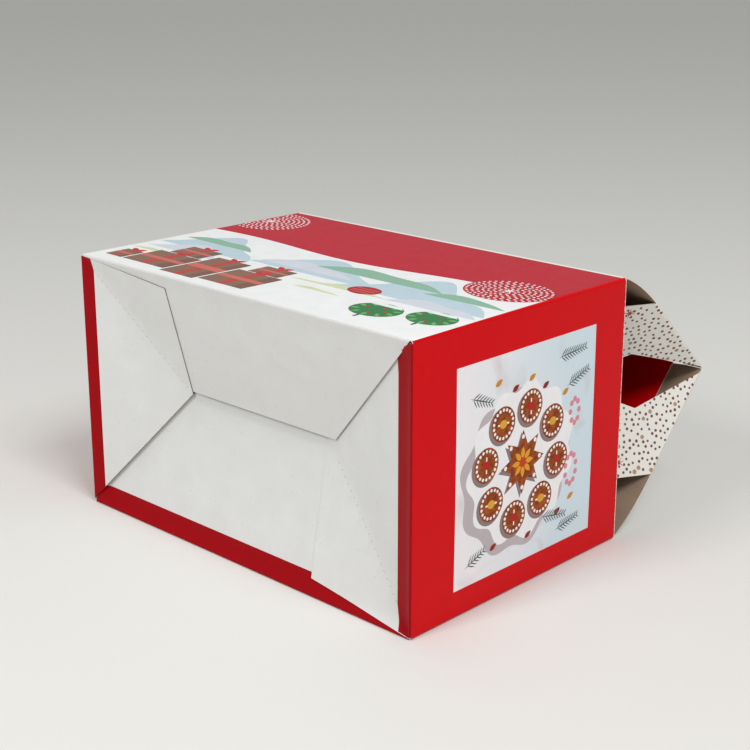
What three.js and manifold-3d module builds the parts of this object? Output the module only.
// Gable box of folding boxboard, lying on its back panel with the gable shut.
// X runs from the base to the gable, Y from the near side panel to the far one,
// and Z up from the back panel, which rests on the table, to the front panel.
// The whole box is one folded and glued sheet. Its two roof panels swing on
// their creases, so each is a piece of its own, and the body with its glued
// base flaps is the third.
import * as THREE from 'three';
import { mergeVertices } from 'three/addons/utils/BufferGeometryUtils.js';
import Module from 'manifold-3d';

const wasm = await Module();
wasm.setup();

// Body, in millimetres
const bodyLength = 180; // base crease to gable crease
const bodyWidth = 272; // outside of one side panel to the outside of the other
const bodyDepth = 160; // back panel to front panel
const board = 0.6; // thickness of the boxboard
const creaseRadius = 1.4; // outside radius of the four long creases

// Glued base, whose four flaps sag inwards like a shallow hopper
const sagSlope = 15.4; // degrees between a base flap and the plane of the base
const flapPlay = 0.25; // air between the two glued pairs of flaps
const settle = 7; // distance over which a covered flap dips to its own layer
const sideReach = 76.5; // how far a side flap reaches in from its side panel
const sideTaper = 8.5; // how far its glued wing stands off the long crease
const cornerCut = 4; // how far its free edge starts from the corner
const cornerRelief = 2.4; // the notch between two flaps at a corner of the base
const longReach = 75; // how far the front and back flaps reach from their creases
const backOverlap = 7; // how far the back flap passes under the front flap's edge
const hiddenLap = 8; // how far the covered pair of flaps runs on under the pair outside

// Gable, which closes over the mouth
const creaseGap = 0.3; // air between the body and a roof panel at their crease
const ridgeReach = 90; // ridge to mouth
const ridgeLift = 6.5; // the ridge lies this far above the middle of the depth
const ridgeGap = 0.8; // air between the folded edges of the two roofs
const roofRelief = 0.8; // a roof panel stops this far short of the side's face
const bowStart = 43; // along a roof panel, from its crease to where it turns straight
const bowHeight = 4.1; // how far it stands out there from a straight line
const bowEase = 27; // length of the straight that is taken up by the curve
const hemWidth = 38; // width of the ridge edge that is folded back inside
const hemInset = 22.5; // from the roof panel's end to the hem's end
const hemAir = 0.4; // air inside the fold

// End tabs, one at each end of each roof panel, folded into the gable
const tabRoot = 75; // length of a tab's crease, from the ridge
const tabStart = 1.2; // the tab stops this far short of the ridge
const tabShoulder = new THREE.Vector2(47, 31); // along the crease and across it
const tabReach = 54; // width of the tab across its crease
const tabStep = 6; // how far its front edge moves on between shoulder and end
const tabFlare = new THREE.Vector2(13.5, 19); // the corner past the crease's end
const frontTabLean = 42; // degrees that the front roof's tabs lean into the gable
const backTabLean = 30; // and the back roof's

const upward = new THREE.Vector3(0, 0, 1);
const sideways = new THREE.Vector3(0, 1, 0);
const lengthwise = new THREE.Vector3(1, 0, 0);

// Turns a closed three.js geometry into a solid that can be joined and cut
function solidOf(geometry) {
  geometry.deleteAttribute('normal');
  geometry.deleteAttribute('uv');
  const merged = mergeVertices(geometry, 1e-4);
  return new wasm.Manifold(new wasm.Mesh({
    numProp: 3,
    vertProperties: new Float32Array(merged.attributes.position.array),
    triVerts: new Uint32Array(merged.index.array),
  }));
}

// Turns a finished solid back into a three.js geometry
function geometryOf(solid) {
  const mesh = solid.getMesh();
  const geometry = new THREE.BufferGeometry();
  geometry.setAttribute('position', new THREE.BufferAttribute(new Float32Array(mesh.vertProperties), 3));
  geometry.setIndex(new THREE.BufferAttribute(new Uint32Array(mesh.triVerts), 1));
  geometry.computeVertexNormals();
  return geometry;
}

function join(solids) {
  return solids.reduce((whole, next) => whole.add(next));
}

// A plate: an outline drawn along u and v, made as thick as asked along w
function plate(outline, thickness, origin, u, v, w) {
  const shape = outline instanceof THREE.Shape ? outline : new THREE.Shape(outline);
  const geometry = new THREE.ExtrudeGeometry(shape, { depth: thickness, bevelEnabled: false, curveSegments: 5 });
  const place = new THREE.Matrix4().makeBasis(u, v, w).setPosition(origin);
  const position = geometry.attributes.position;
  const mirrored = place.determinant() < 0;
  geometry.applyMatrix4(place);
  if (mirrored) {
    for (let corner = 0; corner < position.count; corner += 3) {
      const second = new THREE.Vector3().fromBufferAttribute(position, corner + 1);
      const third = new THREE.Vector3().fromBufferAttribute(position, corner + 2);
      position.setXYZ(corner + 1, third.x, third.y, third.z);
      position.setXYZ(corner + 2, second.x, second.y, second.z);
    }
  }
  return solidOf(geometry);
}

// A rectangle with round corners, drawn about its own centre
function roundedRectangle(path, width, height, radius) {
  const x = width / 2 - radius;
  const y = height / 2 - radius;
  path.moveTo(width / 2, -y);
  path.absarc(x, y, radius, 0, Math.PI / 2);
  path.absarc(-x, y, radius, Math.PI / 2, Math.PI);
  path.absarc(-x, -y, radius, Math.PI, Math.PI * 1.5);
  path.absarc(x, -y, radius, Math.PI * 1.5, Math.PI * 2);
  return path;
}

// The four body panels, as one open tube
function walls() {
  const section = roundedRectangle(new THREE.Shape(), bodyWidth, bodyDepth, creaseRadius);
  const inside = new THREE.Path();
  roundedRectangle(inside, bodyWidth - 2 * board, bodyDepth - 2 * board, creaseRadius - board);
  section.holes.push(inside);
  const centre = new THREE.Vector3(0, bodyWidth / 2, bodyDepth / 2);
  return plate(section, bodyLength, centre, sideways, upward, lengthwise);
}

// Base layers, from the outside in: far flap, front flap, near flap, back flap.
// The far flap's wing is glued on the front flap, the near flap's on the back.
const sag = Math.tan(THREE.MathUtils.degToRad(sagSlope));
const farLayer = 0;
const frontLayer = farLayer + board;
const nearLayer = frontLayer + board + flapPlay;
const backLayer = nearLayer + board;
const glue = 0.05; // the sunk depth of a glued joint, so that the layers are one

// The outside corners of the base, and the direction inwards from each crease
const creases = {
  far: { corner: new THREE.Vector3(0, bodyWidth, 0), inward: new THREE.Vector3(0, -1, 0), run: upward, length: bodyDepth },
  near: { corner: new THREE.Vector3(0, 0, 0), inward: sideways, run: upward, length: bodyDepth },
  front: { corner: new THREE.Vector3(0, 0, bodyDepth), inward: new THREE.Vector3(0, 0, -1), run: sideways, length: bodyWidth },
  back: { corner: new THREE.Vector3(0, 0, 0), inward: upward, run: sideways, length: bodyWidth },
};

const rootDepth = board / 2; // a flap's strip starts at this depth in the wall that carries it
const lap = 0.2; // how far wing and web run over the crease between them

// A strip of board that sags inwards from one crease, over the whole base.
// It starts in the plane of the base and dips to its layer within the settle.
function sagStrip(crease, layer, reach, extra = 0) {
  const outer = [
    new THREE.Vector2(rootDepth, glue),
    new THREE.Vector2(settle, settle * sag + layer),
    new THREE.Vector2(reach, reach * sag + layer),
  ];
  const thick = board / Math.cos(Math.atan(sag)) + extra;
  const inner = outer.map((point) => new THREE.Vector2(point.x, point.y + thick)).reverse();
  return plate([...outer, ...inner], crease.length, crease.corner, crease.inward, lengthwise, crease.run);
}

// A prism through the base, whose outline is drawn in Y and Z
function baseCutter(outline) {
  const deep = bodyLength / 2;
  const start = new THREE.Vector3(-deep / 2, 0, 0);
  return plate(outline.map(([y, z]) => new THREE.Vector2(y, z)), deep, start, sideways, upward, lengthwise);
}

// Half a turn about the middle of the base, which maps one glued pair on the other
function halfTurn(outline) {
  return outline.map(([y, z]) => [bodyWidth - y, bodyDepth - z]);
}

// A side flap: the web next to its side panel, and the wing beyond its diagonal
// crease, which is glued on the long flap beside it. Drawn for the near side.
function wingOutline(reach) {
  return [
    [cornerRelief - lap, cornerRelief + lap],
    [cornerRelief, rootDepth + lap],
    [sideReach + 1, sideTaper],
    [reach, reach],
    [reach - lap, reach + lap],
  ];
}

function webOutline(reach, cut) {
  return [
    [rootDepth / 2, cornerRelief],
    [cornerRelief + lap, cornerRelief - lap],
    [reach + lap, reach - lap],
    [reach, reach + lap],
    [rootDepth / 2, bodyDepth - cut],
  ];
}

// A front or back flap, drawn for the back, with its free side running on by the lap
function longOutline(reach, freeLap) {
  return [
    [cornerRelief, rootDepth / 2],
    [bodyWidth - cornerRelief, rootDepth / 2],
    [bodyWidth - reach + freeLap, reach],
    [reach, reach],
  ];
}

function base() {
  const cut = (outline) => baseCutter(outline);
  const cutTurned = (outline) => baseCutter(halfTurn(outline));
  const nearReach = sideReach + hiddenLap;
  const backReach = bodyDepth - longReach + backOverlap;
  return [
    sagStrip(creases.far, farLayer, sideReach).intersect(cutTurned(webOutline(sideReach, cornerCut))),
    sagStrip(creases.front, farLayer, sideReach, glue).intersect(cutTurned(wingOutline(sideReach))),
    sagStrip(creases.front, frontLayer, longReach).intersect(cutTurned(longOutline(longReach + 1, 0))),
    sagStrip(creases.near, nearLayer, nearReach).intersect(cut(webOutline(nearReach, cornerRelief))),
    sagStrip(creases.back, nearLayer, nearReach, glue).intersect(cut(wingOutline(nearReach))),
    sagStrip(creases.back, backLayer, backReach).intersect(cut(longOutline(backReach + 1, hiddenLap + 1))),
  ];
}

// Where a roof panel runs, in the plane of X and Z, on its outer face.
// side is 1 for the front roof, whose outside faces up, and -1 for the back roof.
function roofLine(side) {
  const stack = board * 2 + hemAir;
  const middle = bodyDepth / 2 + ridgeLift;
  const crease = new THREE.Vector2(bodyLength + creaseGap, side > 0 ? bodyDepth : 0);
  const rise = Math.abs(middle - crease.y);
  const slope = Math.atan2(rise, ridgeReach);
  const standOff = stack / Math.cos(slope) + ridgeGap / 2;
  const ridge = new THREE.Vector2(bodyLength + ridgeReach, middle + side * standOff);
  const chord = ridge.clone().sub(crease).normalize();
  const outward = new THREE.Vector2(-chord.y * side, chord.x * side);
  const shoulder = crease.clone().addScaledVector(chord, bowStart).addScaledVector(outward, bowHeight);
  const straight = ridge.clone().sub(shoulder).normalize();
  const ease = shoulder.clone().addScaledVector(straight, -bowEase);
  const inward = new THREE.Vector2(straight.y * side, -straight.x * side);
  return { crease, ease, shoulder, ridge, straight, inward };
}

// The roof panel itself, bowed near its crease and straight beyond
function roofPanel(line) {
  const curve = new THREE.QuadraticBezierCurve(line.crease, line.ease, line.shoulder);
  const bends = 8;
  const outer = [...curve.getPoints(bends), line.ridge];
  const inner = outer.map((point, index) => {
    if (index === 0) {
      const first = outer[1].clone().sub(point).normalize();
      return new THREE.Vector2(point.x, point.y + (Math.sign(line.inward.y) * board) / first.x);
    }
    const along = index < bends ? curve.getTangent(index / bends) : line.straight;
    const turn = Math.sign(line.inward.y) * Math.sign(line.straight.x);
    return point.clone().add(new THREE.Vector2(-along.y, along.x).multiplyScalar(board * turn));
  });
  const start = new THREE.Vector3(0, roofRelief, 0);
  return plate([...outer, ...inner.reverse()], bodyWidth - 2 * roofRelief, start, lengthwise, upward, sideways);
}

// The roof's ridge edge, folded back flat inside, seen along the ridge
function hem(line) {
  const outside = board + hemAir / 2;
  const inside = hemAir / 2;
  const section = new THREE.Shape();
  section.moveTo(-board * 2, glue);
  section.lineTo(-glue, glue);
  section.absarc(-glue, outside + glue, outside, -Math.PI / 2, Math.PI / 2);
  const far = 2 * outside + glue;
  section.lineTo(-hemWidth, far);
  section.lineTo(-hemWidth, far - board);
  section.lineTo(-glue, far - board);
  section.absarc(-glue, outside + glue, inside, Math.PI / 2, -Math.PI / 2, true);
  section.lineTo(-board * 2, board + glue);
  const start = new THREE.Vector3(line.ridge.x, hemInset, line.ridge.y);
  const along = new THREE.Vector3(line.straight.x, 0, line.straight.y);
  const inward = new THREE.Vector3(line.inward.x, 0, line.inward.y);
  return plate(section, bodyWidth - 2 * hemInset, start, along, inward, sideways);
}

// An end tab. At lean 0 it would stand in the plane of the side panel.
function endTab(line, end, lean) {
  const angle = THREE.MathUtils.degToRad(lean);
  const intoBox = sideways.clone().multiplyScalar(end);
  const inward = new THREE.Vector3(line.inward.x, 0, line.inward.y);
  const along = new THREE.Vector3(-line.straight.x, 0, -line.straight.y);
  const across = inward.clone().multiplyScalar(Math.cos(angle)).addScaledVector(intoBox, Math.sin(angle));
  const through = inward.clone().multiplyScalar(-Math.sin(angle)).addScaledVector(intoBox, Math.cos(angle));
  const outline = [
    new THREE.Vector2(tabStart, rootDepth),
    tabShoulder,
    new THREE.Vector2(tabShoulder.x + tabStep / 2, (tabShoulder.y + tabReach) / 2),
    new THREE.Vector2(tabShoulder.x + tabStep, tabReach),
    new THREE.Vector2(tabRoot + tabFlare.x / 2, tabReach),
    new THREE.Vector2(tabRoot + tabFlare.x, tabFlare.y),
    new THREE.Vector2(tabRoot, rootDepth),
  ];
  const edge = end > 0 ? roofRelief : bodyWidth - roofRelief;
  const start = new THREE.Vector3(line.ridge.x, edge, line.ridge.y);
  start.addScaledVector(inward, 2 * glue).addScaledVector(intoBox, glue);
  return plate(outline, board, start, along, across, through);
}

function roof(side, lean) {
  const line = roofLine(side);
  return join([roofPanel(line), hem(line), endTab(line, 1, lean), endTab(line, -1, lean)]);
}

// Materials: red printed board outside on the body, cream printed roofs
const printedRed = new THREE.MeshStandardMaterial({ color: 0xc4101c, roughness: 0.35, metalness: 0 });
const printedCream = new THREE.MeshStandardMaterial({ color: 0xece6da, roughness: 0.5, metalness: 0 });

function part(name, solid, material) {
  const mesh = new THREE.Mesh(geometryOf(solid), material);
  mesh.name = name;
  return mesh;
}

const gableBox = new THREE.Group();
gableBox.add(
  part('carton_body', join([walls(), ...base()]), printedRed),
  part('front_roof', roof(1, frontTabLean), printedCream),
  part('back_roof', roof(-1, backTabLean), printedCream),
);

// The origin is on the table, under the middle of the whole box
const extent = new THREE.Box3().setFromObject(gableBox);
const middle = extent.getCenter(new THREE.Vector3());
gableBox.position.set(-middle.x, -middle.y, -extent.min.z);
gableBox.updateMatrixWorld(true);

export default gableBox;
